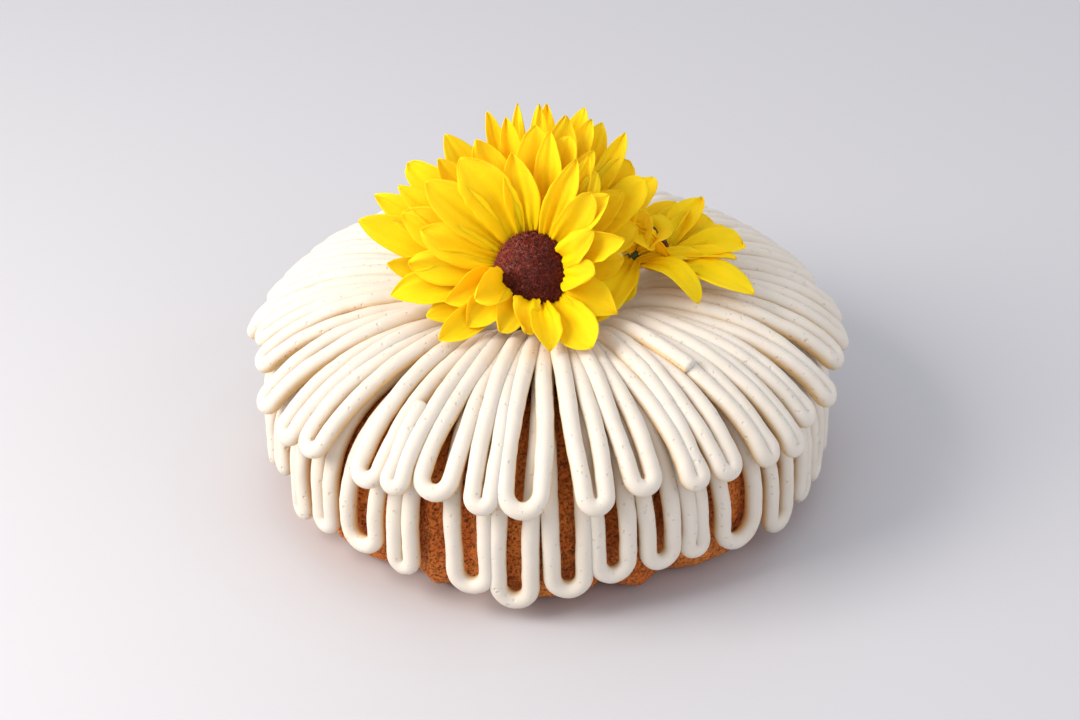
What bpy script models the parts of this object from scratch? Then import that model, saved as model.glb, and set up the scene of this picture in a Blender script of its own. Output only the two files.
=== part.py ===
"""A ring cake baked in a fluted tube pan, covered with two courses of piped icing loops.

Two cloth sunflowers stand in the hole of the ring. Units are metres, +Z is up, and the origin is
the middle of the base. Azimuths are in degrees: 0 faces the viewer (-Y), and 90 is +X.
"""

import math
import random

import bmesh
import bpy
from mathutils import Vector

MM = 0.001
SEED = 9
GAP = 0.3 * MM

# The sponge: half widths and heights of the ring's section round its own middle.
RING_RADIUS = 65 * MM
SIDE_HEIGHT = 38 * MM
HALF_OUT = 62 * MM
HALF_IN = 36 * MM
HALF_UP = 47.6 * MM
HALF_DOWN = 38 * MM
ROUND_UP = 2.3
ROUND_DOWN = 7.0
BASE_EDGE_RADIUS = 113 * MM
HOLE_FOOT_RADIUS = 27 * MM

# The flutes: eight wide lobes and eight narrow, pointed ones between them.
LOBE_PERIOD = 45.0
LOBE_PHASE = -3.0
WIDE_LOBE_HALF = 14.0
FLUTE_DEPTH = 11 * MM
WIDE_LOBE_STEPS = (-14.0, -9.0, -3.0, 3.0, 9.0)
NARROW_LOBE_STEPS = (14.0, 22.5)
BASE_FLUTE_SHARE = 0.75
SPONGE_ROWS = (
    (-71, 1.0), (-40, 1.0), (0, 1.0), (24, 1.0), (48, 0.8),
    (78, 0.35), (118, 0.1), (160, 0.0),
)

# The icing rope and its two courses. Lifts are distances from the sponge's lobes.
ROPE_RADIUS = 4.25 * MM
ROPE_SIDES = 5
SKIN_LIFT = 1.2 * MM
FIRST_LIFT = 5.1 * MM
SECOND_LIFT = 13.2 * MM
HANGING_LIFT = 6.5 * MM
HANGING_ANGLES = 28.0
VALLEY_LIFT = 13.4 * MM
CAP_ANGLES = (148.0, 122.0, 98.0, 74.0, 54.0)
MIDDLE_LIFT = 8.0 * MM
TURN_STEPS = 5
TURN_LENGTH = 1.1
FIRST_LEG_STEPS = 3
SECOND_LEG_STEPS = 2
AZIMUTH_PLAY = 0.5

# Routes along the section, in degrees of its angle.
ROUTE_START = 150
ROUTE_END = -78
ROUTE_STEP = 2

# The loops in view: azimuth in degrees, height of the lowest point and width, both in millimetres.
FIRST_COURSE_COUNT = 36
FIRST_COURSE_FRONT = (
    (-69.2, 24, 17), (-59.8, 12, 17), (-50.5, 16.5, 17.5), (-39.8, 18, 24), (-29.8, 15, 17),
    (-15.7, 13, 21), (-6.8, 7, 20), (3.5, 13, 20.5), (12.3, 19, 19.5), (22.1, 21, 18),
    (29.7, 21.7, 17), (40.4, 15.8, 26), (53, 9, 20.5), (62.8, 12.5, 17), (71, 12, 18),
)
SECOND_COURSE_COUNT = 39
SECOND_COURSE_FRONT = (
    (-79.5, 68, 18), (-68, 62.3, 18), (-57.6, 60.6, 17), (-50.2, 62.5, 17.5), (-35.5, 62.3, 17),
    (-28.6, 64, 17), (-21.5, 65, 18), (-12.4, 62.5, 17), (-4.6, 61.9, 20), (8.5, 62.2, 17),
    (18, 66, 17), (28.2, 63.8, 17), (35.2, 63, 17), (44.6, 61, 17), (51.5, 57.6, 17),
    (58.6, 63.3, 17), (67.9, 61.5, 18), (78.5, 65, 18),
)
FIRST_COURSE_BACK = (8, 22, 19)
SECOND_COURSE_BACK = (58, 70, 18)

# The sunflowers: each is given by its head's place, the way it faces, its disc's radius, the one
# layer whose downward petals lie on the icing, as those of its other layers are left out, and the
# way in which petals are moved clear of the icing. A layer of petals is given by its count, the
# angle of its first petal, their length and width, how steeply they rise and how far they droop.
CLOTH = 0.7 * MM
LAYER_STEP = 1.8 * MM
HUB_SHARE = 0.86
PETAL_ROWS = ((0.4, 0.95), (0.78, 0.8))
PETAL_CUP = 0.2
PETAL_GAP = 0.6 * MM
LENGTH_PLAY = (0.92, 1.03)
WIDTH_PLAY = (0.9, 1.1)
BEND_PLAY = 0.06
DOWNWARD = -0.45
PETAL_CLEARANCE = 1.3 * MM
ICING_REACH = 4 * MM
MOST_LIFTS = 40
MAIN_FLOWER = ((-5 * MM, -22 * MM, 117.5 * MM), (0.0, -0.84, 0.545), 18.5 * MM, 3,
               Vector((0.0, -0.84, 0.545)))
MAIN_LAYERS = (
    (14, 10, 78 * MM, 18 * MM, 0.02, 0.06),
    (14, 23, 75 * MM, 18 * MM, 0.14, 0.12),
    (12, 4, 66 * MM, 21 * MM, 0.34, 0.22),
    (11, 20, 47 * MM, 17 * MM, 0.54, 0.30),
)
SIDE_FLOWER = ((44 * MM, 1 * MM, 116 * MM), (0.55, 0.72, 0.42), 14 * MM, 0,
               Vector((0.0, 0.0, 1.0)))
SIDE_LAYERS = (
    (12, 8, 62 * MM, 17 * MM, 0.55, 0.25),
    (11, 24, 54 * MM, 16 * MM, 0.66, 0.28),
)
DISC_SIDES = 14
DISC_RINGS = ((0.62, 0.0), (1.0, 0.22), (0.9, 0.4), (0.5, 0.56))
STEM_RADIUS = 2.4 * MM
STEM_SIDES = 8
STEM_NECK = 7 * MM
STEM_FOOT = 6 * MM
STEM_ELBOW = 84 * MM
MAIN_STEM_FOOT = (-8 * MM, 12 * MM)
SIDE_STEM_FOOT = (10 * MM, 10 * MM)


def make_material(name, colour, roughness):
    material = bpy.data.materials.new(name)
    material.use_nodes = True
    shader = material.node_tree.nodes["Principled BSDF"]
    shader.inputs["Base Color"].default_value = (*colour, 1.0)
    shader.inputs["Roughness"].default_value = roughness
    shader.inputs["Metallic"].default_value = 0.0
    return material


def make_object(name, bm, material, smooth_angle=40.0):
    """Turn a bmesh into a named object with its own material."""
    bmesh.ops.recalc_face_normals(bm, faces=bm.faces)
    mesh = bpy.data.meshes.new(name)
    bm.to_mesh(mesh)
    bm.free()
    mesh.materials.append(material)
    mesh.shade_smooth()
    mesh.set_sharp_from_angle(angle=math.radians(smooth_angle))
    item = bpy.data.objects.new(name, mesh)
    bpy.context.scene.collection.objects.link(item)
    return item


def power(value, exponent):
    return math.copysign(abs(value) ** exponent, value)


def section_point(angle):
    """Radius and height of the sponge's section, and its outward normal there.

    The angle is 0 at the outer side, 90 on top and 180 in the hole; below the side it is negative.
    """
    across = math.cos(math.radians(angle))
    up = math.sin(math.radians(angle))
    half_width = HALF_OUT if across >= 0 else HALF_IN
    half_height = HALF_UP if up >= 0 else HALF_DOWN
    roundness = ROUND_UP if up >= 0 else ROUND_DOWN
    radius = RING_RADIUS + half_width * power(across, 2 / roundness)
    height = SIDE_HEIGHT + half_height * power(up, 2 / roundness)
    slope = 2 - 2 / roundness
    normal = Vector((power(across, slope) / half_width, power(up, slope) / half_height))
    normal.normalize()
    return radius, height, normal


def around(azimuth, radius, height):
    """Point at an azimuth, a radius from the axis and a height."""
    angle = math.radians(azimuth)
    return Vector((radius * math.sin(angle), -radius * math.cos(angle), height))


def route(lift, hang=0.0):
    """The section at a distance from the sponge, from inside the hole over the top to the foot.

    Each entry is (way along it, radius, height, normal). Beyond the close-packed icing the route
    moves off the side by up to hang.
    """
    entries = []
    for angle in range(ROUTE_START, ROUTE_END, -ROUTE_STEP):
        radius, height, normal = section_point(angle)
        away = hang * min(1.0, max(0.0, (CAP_ANGLES[-1] - angle) / HANGING_ANGLES))
        radius += lift * normal.x + away
        height += lift * normal.y
        way = 0.0
        if entries:
            way = entries[-1][0] + math.hypot(radius - entries[-1][1], height - entries[-1][2])
        entries.append((way, radius, height, normal))
    return entries


CREST_ROUTE = route(SECOND_LIFT + ROPE_RADIUS)


def way_at_angle(entries, angle):
    """How far along a route its section angle is reached."""
    return entries[round((ROUTE_START - angle) / ROUTE_STEP)][0]


def along(entries, way):
    """Radius, height and normal a given way along a route."""
    for before, after in zip(entries, entries[1:]):
        if way <= after[0]:
            break
    share = (way - before[0]) / (after[0] - before[0])
    radius = before[1] + (after[1] - before[1]) * share
    height = before[2] + (after[2] - before[2]) * share
    return radius, height, before[3].lerp(after[3], share).normalized()


def way_down_to(entries, height):
    """How far along a route its outer side comes down to a height."""
    for before, after in zip(entries, entries[1:]):
        if after[1] > RING_RADIUS and before[2] >= height > after[2]:
            share = (before[2] - height) / (before[2] - after[2])
            return before[0] + (after[0] - before[0]) * share
    return entries[-1][0]


def near(azimuth, other):
    """The same azimuth, given within half a turn of another one."""
    return other + (azimuth - other + 180) % 360 - 180


def flute(azimuth):
    """How far a flute cuts in at this azimuth, from 0 on a lobe to 1 in a valley."""
    offset = (azimuth - LOBE_PHASE + LOBE_PERIOD / 2) % LOBE_PERIOD - LOBE_PERIOD / 2
    narrow_half = LOBE_PERIOD / 2 - WIDE_LOBE_HALF
    if abs(offset) <= WIDE_LOBE_HALF:
        return 1 - math.sqrt(max(0.0, 1 - (offset / WIDE_LOBE_HALF) ** 2))
    return (LOBE_PERIOD / 2 - abs(offset)) / narrow_half


def skin_rings(bm, rings):
    """Faces between each closed ring of vertices and the next."""
    for lower, upper in zip(rings, rings[1:]):
        count = len(lower)
        for i in range(count):
            j = (i + 1) % count
            bm.faces.new((lower[i], lower[j], upper[j], upper[i]))


def make_cake(material):
    """The fluted ring: its section is followed from the base edge over the top into the hole."""
    azimuths = []
    for lobe in range(round(360 / LOBE_PERIOD)):
        for step in WIDE_LOBE_STEPS + NARROW_LOBE_STEPS:
            azimuths.append(LOBE_PHASE + lobe * LOBE_PERIOD + step)
    rows = [(BASE_EDGE_RADIUS, 0.0, BASE_FLUTE_SHARE)]
    for angle, share in SPONGE_ROWS:
        radius, height, _ = section_point(angle)
        rows.append((radius, height, share))
    rows.append((HOLE_FOOT_RADIUS, 0.0, 0.0))

    bm = bmesh.new()
    rings = []
    for radius, height, share in rows:
        ring = []
        for azimuth in azimuths:
            cut = FLUTE_DEPTH * share * flute(azimuth)
            ring.append(bm.verts.new(around(azimuth, radius - cut, height)))
        rings.append(ring)
    skin_rings(bm, rings + [rings[0]])
    return make_object("cake", bm, material)


def course(front, count, back, draw):
    """All loops of a course as (azimuth, lowest point, width), in order of azimuth.

    Behind the loops in view the rest are spread evenly, each a little off its place.
    """
    low, high, width = back
    loops = [(a, z * MM, w * MM) for a, z, w in front]
    first, last = front[0][0] + 360.0, front[-1][0]
    missing = count - len(front)
    pitch = (first - last) / (missing + 1)
    for i in range(missing):
        azimuth = last + pitch * (i + 1) + draw.uniform(-AZIMUTH_PLAY, AZIMUTH_PLAY)
        loops.append((azimuth, draw.uniform(low, high) * MM, width * MM))
    return loops


def hairpin_path(loop, entries, starts, leg_steps):
    """Centre line of one loop, from the close-packed icing down, round the turn and back up.

    starts holds the azimuths at which its two legs leave the close-packed icing. Each point comes
    with the surface normal there.
    """
    azimuth, bottom, width = loop
    half = width / 2 - ROPE_RADIUS
    top = way_at_angle(entries, CAP_ANGLES[-1])
    turn = way_down_to(entries, bottom + ROPE_RADIUS) - half * TURN_LENGTH

    def place(way, offset, leg_azimuth=0.0, share=0.0):
        radius, height, normal = along(entries, way)
        at = azimuth + math.degrees(offset / radius)
        at += (leg_azimuth - at) * share
        return around(at, radius, height), around(at, normal.x, normal.y)

    def leg(side, leg_azimuth):
        points = []
        for step in range(1, leg_steps + 1):
            share = step / leg_steps
            points.append(place(top + (turn - top) * share, side * half, leg_azimuth,
                                (1 - share) ** 2))
        return points

    path = leg(-1, starts[0])
    for step in range(1, TURN_STEPS):
        angle = math.pi * step / TURN_STEPS
        path.append(place(turn + half * TURN_LENGTH * math.sin(angle), -half * math.cos(angle)))
    path.extend(reversed(leg(1, starts[1])))
    return path


def places_for(first, ridges):
    """The place in the close-packed icing from which each rope of the first course comes.

    Every rope takes the next free place nearest to its azimuth, in order round the cake.
    """
    count = len(ridges)
    places = []
    for azimuth, _, width in first:
        half = math.degrees((width / 2 - ROPE_RADIUS) / (RING_RADIUS + HALF_OUT))
        for at in (azimuth - half, azimuth + half):
            nearest = min(range(count), key=lambda i: abs((ridges[i] - at + 180) % 360 - 180))
            if places:
                steps = (nearest - places[-1] + count // 2) % count - count // 2
                nearest = places[-1] + max(1, steps)
            places.append(nearest)
    return [place % count for place in places]


def make_loop(bm, left_face, right_face, path, turned):
    """Skin one loop's tube between two faces of the close-packed icing, which it replaces."""
    rings = [left_face]
    for i, (point, outward) in enumerate(path):
        before = path[max(i - 1, 0)][0]
        after = path[min(i + 1, len(path) - 1)][0]
        tangent = (after - before).normalized()
        sideways = tangent.cross(outward).normalized()
        ring = []
        for side in range(ROPE_SIDES):
            angle = 2 * math.pi * side / ROPE_SIDES + turned
            offset = outward * math.cos(angle) + sideways * math.sin(angle)
            ring.append(bm.verts.new(point + ROPE_RADIUS * offset))
        rings.append(ring)
    rings.append(right_face)
    skin_rings(bm, rings)


def make_icing(material):
    """One closed skin: ridges close together on top, and two courses of loops hanging from them."""
    draw = random.Random(SEED)
    first = course(FIRST_COURSE_FRONT, FIRST_COURSE_COUNT, FIRST_COURSE_BACK, draw)
    second = course(SECOND_COURSE_FRONT, SECOND_COURSE_COUNT, SECOND_COURSE_BACK, draw)

    # Each loop of the second course has two ropes, so two ridges, and a valley on either side.
    ridges, valleys = [], []
    for i, loop in enumerate(second):
        middle = loop[0]
        before = second[i - 1][0] if i > 0 else second[-1][0] - 360
        after = second[i + 1][0] if i < len(second) - 1 else second[0][0] + 360
        left, right = (before + middle) / 2, (middle + after) / 2
        valleys += [left, middle]
        ridges += [(left + middle) / 2, (middle + right) / 2]
    count = len(ridges)

    bm = bmesh.new()

    def row(angle, lift, azimuths):
        radius, height, normal = section_point(angle)
        radius += lift * normal.x
        height += lift * normal.y
        return [bm.verts.new(around(azimuth, radius, height)) for azimuth in azimuths]

    crest_lift = SECOND_LIFT + ROPE_RADIUS
    crest_rows = [row(angle, crest_lift, ridges) for angle in CAP_ANGLES]
    valley_rows = [row(angle, VALLEY_LIFT, valleys) for angle in CAP_ANGLES]
    inner_rows = [row(angle, SKIN_LIFT, valleys) for angle in CAP_ANGLES]
    middle_row = row(CAP_ANGLES[-1], MIDDLE_LIFT, valleys)
    heel_row = row(CAP_ANGLES[-1], SKIN_LIFT, ridges)

    for k in range(len(CAP_ANGLES) - 1):
        last = k == len(CAP_ANGLES) - 2
        for i in range(count):
            j = (i + 1) % count
            bm.faces.new((valley_rows[k][i], crest_rows[k][i],
                          crest_rows[k + 1][i], valley_rows[k + 1][i]))
            bm.faces.new((crest_rows[k][i], valley_rows[k][j],
                          valley_rows[k + 1][j], crest_rows[k + 1][i]))
            under = [inner_rows[k][i], inner_rows[k][j], inner_rows[k + 1][j]]
            if last:
                under.append(heel_row[i])
            bm.faces.new(under + [inner_rows[k + 1][i]])
    for i in range(count):
        j = (i + 1) % count
        bm.faces.new((valley_rows[0][i], crest_rows[0][i], valley_rows[0][j],
                      inner_rows[0][j], inner_rows[0][i]))

    # Where the rows end, each rope of the second course starts from the outer half of its
    # place, and each rope of the first course from the inner half.
    outer_faces, inner_faces = [], []
    for i in range(count):
        j = (i + 1) % count
        outer_faces.append([crest_rows[-1][i], valley_rows[-1][i], middle_row[i],
                            middle_row[j], valley_rows[-1][j]])
        inner_faces.append([middle_row[i], inner_rows[-1][i], heel_row[i],
                            inner_rows[-1][j], middle_row[j]])

    entries = route(SECOND_LIFT, HANGING_LIFT)
    for i, loop in enumerate(second):
        path = hairpin_path(loop, entries, (ridges[2 * i], ridges[2 * i + 1]),
                            SECOND_LEG_STEPS)
        left, right = outer_faces[2 * i], outer_faces[2 * i + 1]
        mirrored = [right[0], right[4], right[3], right[2], right[1]]
        make_loop(bm, left, mirrored, path, 0.0)

    # The first course has fewer ropes than there are places, so a few places stay closed.
    entries = route(FIRST_LIFT)
    places = places_for(first, ridges)
    for i, loop in enumerate(first):
        left_place, right_place = places[2 * i], places[2 * i + 1]
        left, right = inner_faces[left_place], inner_faces[right_place]
        mirrored = [right[4], right[3], right[2], right[1], right[0]]
        starts = [near(ridges[place], loop[0]) for place in (left_place, right_place)]
        path = hairpin_path(loop, entries, starts, FIRST_LEG_STEPS)
        make_loop(bm, left, mirrored, path, math.pi / ROPE_SIDES)
    for i in range(count):
        if i not in places:
            bm.faces.new(inner_faces[i])
    return make_object("icing", bm, material, 50.0)


def flower_frame(facing):
    """Right, up and out directions of a flower that faces along the given direction."""
    out = Vector(facing).normalized()
    right = Vector((0, 0, 1)).cross(out).normalized()
    up = out.cross(right)
    return right, up, out


def icing_top(radius):
    """Height of the icing's ridges at a distance from the axis, or 0 inside the hole."""
    best = 0.0
    for _, at, height, _ in CREST_ROUTE:
        if abs(at - radius) < ICING_REACH:
            best = max(best, height)
    return best


def make_petals(name, flower, layer, shape, reach, material):
    """One die-cut layer of petals: a hub with the petals as its rays, given thickness.

    reach gives a petal's share of the full length by its angle in the flower.
    """
    head, facing, disc_radius, low_layer, lifting = flower
    hub = disc_radius * HUB_SHARE
    count, first_angle, full_length, width, rise, droop = shape
    right, up, out = flower_frame(facing)
    draw = random.Random(SEED * (layer + 1) + len(name))
    centre = Vector(head) + out * LAYER_STEP * layer

    def place(angle, distance, height=0.0, aside=0.0):
        ray = right * math.cos(angle) + up * math.sin(angle)
        across = up * math.cos(angle) - right * math.sin(angle)
        point = centre + ray * distance + out * height + across * aside
        if distance > hub:
            for _ in range(MOST_LIFTS):
                floor = icing_top(math.hypot(point.x, point.y)) + PETAL_CLEARANCE
                if point.z >= floor:
                    break
                point += lifting * (floor - point.z)
        return bm.verts.new(point)

    bm = bmesh.new()
    middle = place(0.0, 0.0)
    pitch = 2 * math.pi / count
    angles = [math.radians(first_angle) + pitch * i for i in range(count)]
    corners = [place(angle - pitch / 2, hub) for angle in angles]
    mids = [place(angle, hub) for angle in angles]
    for i, angle in enumerate(angles):
        bm.faces.new((middle, corners[i], mids[i]))
        bm.faces.new((middle, mids[i], corners[(i + 1) % count]))
        if layer != low_layer and math.sin(angle) < DOWNWARD:
            continue
        length = full_length * reach(math.degrees(angle)) * draw.uniform(*LENGTH_PLAY)
        half = width / 2 * draw.uniform(*WIDTH_PLAY)
        bend = draw.uniform(-BEND_PLAY, BEND_PLAY)
        rows = [(corners[i], mids[i], corners[(i + 1) % count])]
        for share, spread in PETAL_ROWS:
            distance = hub + (length - hub) * share
            height = length * share * (rise - droop * share)
            turn = angle + bend * share
            room = distance * math.tan(pitch / 2 - abs(bend) * share) - PETAL_GAP
            aside = min(half * spread, room)
            edge = height + aside * PETAL_CUP
            rows.append((place(turn, distance, edge, -aside),
                         place(turn, distance, height),
                         place(turn, distance, edge, aside)))
        tip = place(angle + bend, length, length * (rise - droop))
        for near_row, far_row in zip(rows, rows[1:]):
            bm.faces.new((near_row[0], far_row[0], far_row[1]))
            bm.faces.new((near_row[0], far_row[1], near_row[1]))
            bm.faces.new((near_row[1], far_row[1], near_row[2]))
            bm.faces.new((near_row[2], far_row[1], far_row[2]))
        bm.faces.new((rows[-1][0], tip, rows[-1][1]))
        bm.faces.new((rows[-1][1], tip, rows[-1][2]))
    item = make_object(name, bm, material, 60.0)
    thicken = item.modifiers.new("Cloth", "SOLIDIFY")
    thicken.thickness = CLOTH
    thicken.offset = 0.0
    return item


def make_disc(name, flower, layers, material):
    """The domed seed head, on the front of the last layer of petals."""
    head, facing, radius, _, _ = flower
    right, up, out = flower_frame(facing)
    base = Vector(head) + out * (LAYER_STEP * (layers - 1) + CLOTH / 2 + GAP)
    bm = bmesh.new()
    rings = []
    for share, rise in DISC_RINGS:
        ring = []
        for i in range(DISC_SIDES):
            angle = 2 * math.pi * i / DISC_SIDES
            ray = right * math.cos(angle) + up * math.sin(angle)
            ring.append(bm.verts.new(base + ray * radius * share + out * radius * rise))
        rings.append(ring)
    bm.faces.new(rings[0])
    bm.faces.new(rings[-1])
    skin_rings(bm, rings)
    return make_object(name, bm, material, 70.0)


def make_stem(name, flower, foot, material):
    """A round stem that bends from the back of the head down into the hole of the cake."""
    head, facing, _, _, _ = flower
    right, _, out = flower_frame(facing)
    start = Vector(head) - out * (CLOTH / 2 + GAP)
    elbow = Vector((foot[0], foot[1], STEM_ELBOW))
    end = Vector((foot[0], foot[1], STEM_FOOT))
    points = [start, start - out * STEM_NECK, elbow, end]
    bm = bmesh.new()
    rings = []
    for i, point in enumerate(points):
        before = points[max(i - 1, 0)]
        after = points[min(i + 1, len(points) - 1)]
        tangent = (after - before).normalized()
        across = tangent.cross(right).normalized()
        other = tangent.cross(across)
        ring = []
        for side in range(STEM_SIDES):
            angle = 2 * math.pi * side / STEM_SIDES
            offset = across * math.cos(angle) + other * math.sin(angle)
            ring.append(bm.verts.new(point + offset * STEM_RADIUS))
        rings.append(ring)
    bm.faces.new(rings[0])
    bm.faces.new(rings[-1])
    skin_rings(bm, rings)
    return make_object(name, bm, material)


def shortened(angle, towards, loss):
    """A petal's share of its length, which is least towards one angle."""
    return 1 - loss * max(0.0, math.cos(math.radians(angle - towards))) ** 2


def main_reach(angle):
    """Petals of the main flower are shorter on its right, where the other flower stands."""
    return shortened(angle, 5, 0.35)


def side_reach(angle):
    """Petals of the other flower are shorter on top, where they meet the main one."""
    return shortened(angle, 85, 0.62)


def build():
    for item in list(bpy.data.objects):
        bpy.data.objects.remove(item)
    sponge = make_material("browned sponge", (0.42, 0.17, 0.05), 0.85)
    cream = make_material("cream cheese icing", (0.86, 0.80, 0.68), 0.45)
    petal = make_material("yellow cloth", (0.90, 0.62, 0.02), 0.7)
    seeds = make_material("brown flock", (0.12, 0.03, 0.015), 0.95)
    green = make_material("green plastic", (0.06, 0.12, 0.03), 0.5)

    make_cake(sponge)
    make_icing(cream)
    flowers = (
        ("main", MAIN_FLOWER, MAIN_LAYERS, main_reach, MAIN_STEM_FOOT),
        ("side", SIDE_FLOWER, SIDE_LAYERS, side_reach, SIDE_STEM_FOOT),
    )
    for which, flower, layers, reach, foot in flowers:
        for layer, shape in enumerate(layers):
            make_petals(f"{which}_petals_{layer + 1}", flower, layer, shape, reach, petal)
        make_disc(f"{which}_disc", flower, len(layers), seeds)
        make_stem(f"{which}_stem", flower, foot, green)


build()
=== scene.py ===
# %% [markdown]
# # A ring cake with piped icing and two cloth sunflowers
# The cake was baked in a fluted tube pan. Thick ropes of cream icing run from the hole over the
# top and hang down the side in two courses of long loops, and two cloth sunflowers stand in the
# hole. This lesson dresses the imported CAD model: it keeps the sizes and makes every visible
# surface again, with more detail and with the finish of the real thing.

# %% Frame and units
import math
import random

import bmesh
import bpy
from mathutils import Matrix, Vector, noise


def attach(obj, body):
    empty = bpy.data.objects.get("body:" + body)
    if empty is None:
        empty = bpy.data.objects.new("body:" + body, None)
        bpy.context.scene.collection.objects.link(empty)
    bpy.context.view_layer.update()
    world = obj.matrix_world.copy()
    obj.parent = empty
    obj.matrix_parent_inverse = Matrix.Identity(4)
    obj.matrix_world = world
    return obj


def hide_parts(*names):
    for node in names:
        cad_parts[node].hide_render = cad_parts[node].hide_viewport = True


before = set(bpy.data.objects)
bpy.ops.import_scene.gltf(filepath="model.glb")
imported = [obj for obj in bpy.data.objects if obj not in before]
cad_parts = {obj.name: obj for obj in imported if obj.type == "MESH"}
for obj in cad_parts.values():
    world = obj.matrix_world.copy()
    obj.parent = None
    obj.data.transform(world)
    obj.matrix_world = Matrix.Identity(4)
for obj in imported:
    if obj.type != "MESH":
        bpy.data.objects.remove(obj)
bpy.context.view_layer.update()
MM = 0.001

# %% [markdown]
# ## Camera
# The picture was taken from in front and about 33 degrees above, with a lens long enough to keep
# the cake's loops nearly parallel. The camera is placed by its pitch, roll and position.

# %% Camera
LENS = 88.9
PITCH = math.radians(32.74)
ROLL = math.radians(-1.07)
CAMERA_PLACE = Vector((-2.8, -1077.5, 747.3)) * MM

ahead = Vector((0, math.cos(PITCH), -math.sin(PITCH)))
level = Vector((1, 0, 0))
upward = level.cross(ahead)
camera_right = level * math.cos(ROLL) + upward * math.sin(ROLL)
camera_up = upward * math.cos(ROLL) - level * math.sin(ROLL)
camera = bpy.data.objects.new("camera", bpy.data.cameras.new("camera"))
bpy.context.scene.collection.objects.link(camera)
camera.data.sensor_width = 36
camera.data.lens = LENS
camera.data.clip_end = 20
camera.matrix_world = Matrix.LocRotScale(
    CAMERA_PLACE, Matrix((camera_right, camera_up, -ahead)).transposed(), None)
bpy.context.scene.camera = camera
print("camera at", camera.matrix_world.translation)

# %% [markdown]
# ## Three helpers for materials
# Colours are written as sRGB hex values, as a paint program shows them, and Blender's shaders
# want them linear. The second helper adds one node: its inputs are either values or the outputs
# of other nodes, which it links. The third starts a material, with the values that are the same
# all over it on the shader's own sockets.

# %% Material helpers
def colour(code):
    """Linear red, green, blue and alpha of an sRGB hex value."""
    parts = [int(code[i:i + 2], 16) / 255 for i in (0, 2, 4)]
    return [p / 12.92 if p <= 0.04045 else ((p + 0.055) / 1.055) ** 2.4 for p in parts] + [1.0]


def add(tree, kind, inputs=None, **settings):
    """Add a node of a kind, with its settings, values and links."""
    node = tree.nodes.new(kind)
    for name, value in settings.items():
        setattr(node, name, value)
    for name, value in (inputs or {}).items():
        socket = node.inputs[name]
        if isinstance(value, bpy.types.NodeSocket):
            tree.links.new(value, socket)
        else:
            socket.default_value = value
    return node


def new_material(name, roughness, ior, **inputs):
    """A Principled material with its fixed values set. Returns it, its node tree and shader."""
    material = bpy.data.materials.new(name)
    material.use_nodes = True
    shader = material.node_tree.nodes["Principled BSDF"]
    shader.inputs["Roughness"].default_value = roughness
    shader.inputs["IOR"].default_value = ior
    for key, value in inputs.items():
        shader.inputs[key.replace("_", " ")].default_value = value
    print("material:", name)
    return material, material.node_tree, shader


# Node names and sockets that come up again and again.
NOISE = "ShaderNodeTexNoise"
CELLS = "ShaderNodeTexVoronoi"
RANGE = "ShaderNodeMapRange"
BLEND = "ShaderNodeMix"
MATHS = "ShaderNodeMath"
BUMP = "ShaderNodeBump"
BLEND_A, BLEND_B, BLEND_OUT = 6, 7, 2


def per_metre(size_mm):
    """Scale of a texture in Object coordinates whose features are of a size in millimetres."""
    return 1 / (size_mm * MM)


# %% [markdown]
# ## From bmesh to a piece
# Every piece is finished the same way: doubled vertices are merged, its faces are turned outwards,
# and the object stays at the origin with its place in the mesh. It rides on the one body, the CAD
# nodes that it stands for are hidden, and it takes the material it is given.

# %% Piece helper
MERGE = 0.002 * MM


def new_object(name, bm, material):
    mesh = bpy.data.meshes.new(name)
    bm.to_mesh(mesh)
    bm.free()
    mesh.materials.append(material)
    made = bpy.data.objects.new(name, mesh)
    bpy.context.scene.collection.objects.link(made)
    return made


def finish_piece(name, bm, material, slot, *nodes):
    bmesh.ops.remove_doubles(bm, verts=bm.verts, dist=MERGE)
    bmesh.ops.recalc_face_normals(bm, faces=bm.faces)
    piece = new_object(name, bm, material)
    piece.data.shade_smooth()
    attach(piece, "root")
    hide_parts(*nodes)
    piece.data.calc_loop_triangles()
    print(name, "has", len(piece.data.loop_triangles), "triangles")


print("vertices closer than", MERGE / MM, "mm are merged")


# %% [markdown]
# ## The form of the sponge
# The pan gives the ring a rounded section, higher and wider outside than towards the hole, and
# flutes round its side: eight wide lobes with a narrow, pointed one between each two. The section
# is a superellipse, as in the CAD model, so that the icing and the sponge share one form.

# %% Section and flutes
RING_RADIUS = 65 * MM
SIDE_HEIGHT = 38 * MM
HALF_OUT, HALF_IN = 62 * MM, 36 * MM
HALF_UP, HALF_DOWN = 47.6 * MM, 38 * MM
ROUND_UP, ROUND_DOWN = 2.3, 7.0
BASE_EDGE_RADIUS = 113 * MM
HOLE_FOOT_RADIUS = 27 * MM
LOBE_PERIOD, LOBE_PHASE, WIDE_LOBE_HALF = 45.0, -3.0, 14.0
FLUTE_DEPTH = 11 * MM


def power(value, exponent):
    return math.copysign(abs(value) ** exponent, value)


def smooth(value, low, high):
    """0 below low, 1 above high, and a smooth step between them."""
    share = min(1.0, max(0.0, (value - low) / (high - low)))
    return share * share * (3 - 2 * share)


def section_point(angle):
    """Radius and height of the section, and its normal, at an angle: 0 outside, 90 on top."""
    across, up = math.cos(math.radians(angle)), math.sin(math.radians(angle))
    half_width = HALF_OUT if across >= 0 else HALF_IN
    half_height = HALF_UP if up >= 0 else HALF_DOWN
    roundness = ROUND_UP if up >= 0 else ROUND_DOWN
    radius = RING_RADIUS + half_width * power(across, 2 / roundness)
    height = SIDE_HEIGHT + half_height * power(up, 2 / roundness)
    slope = 2 - 2 / roundness
    normal = Vector((power(across, slope) / half_width, power(up, slope) / half_height))
    return radius, height, normal.normalized()


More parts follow.
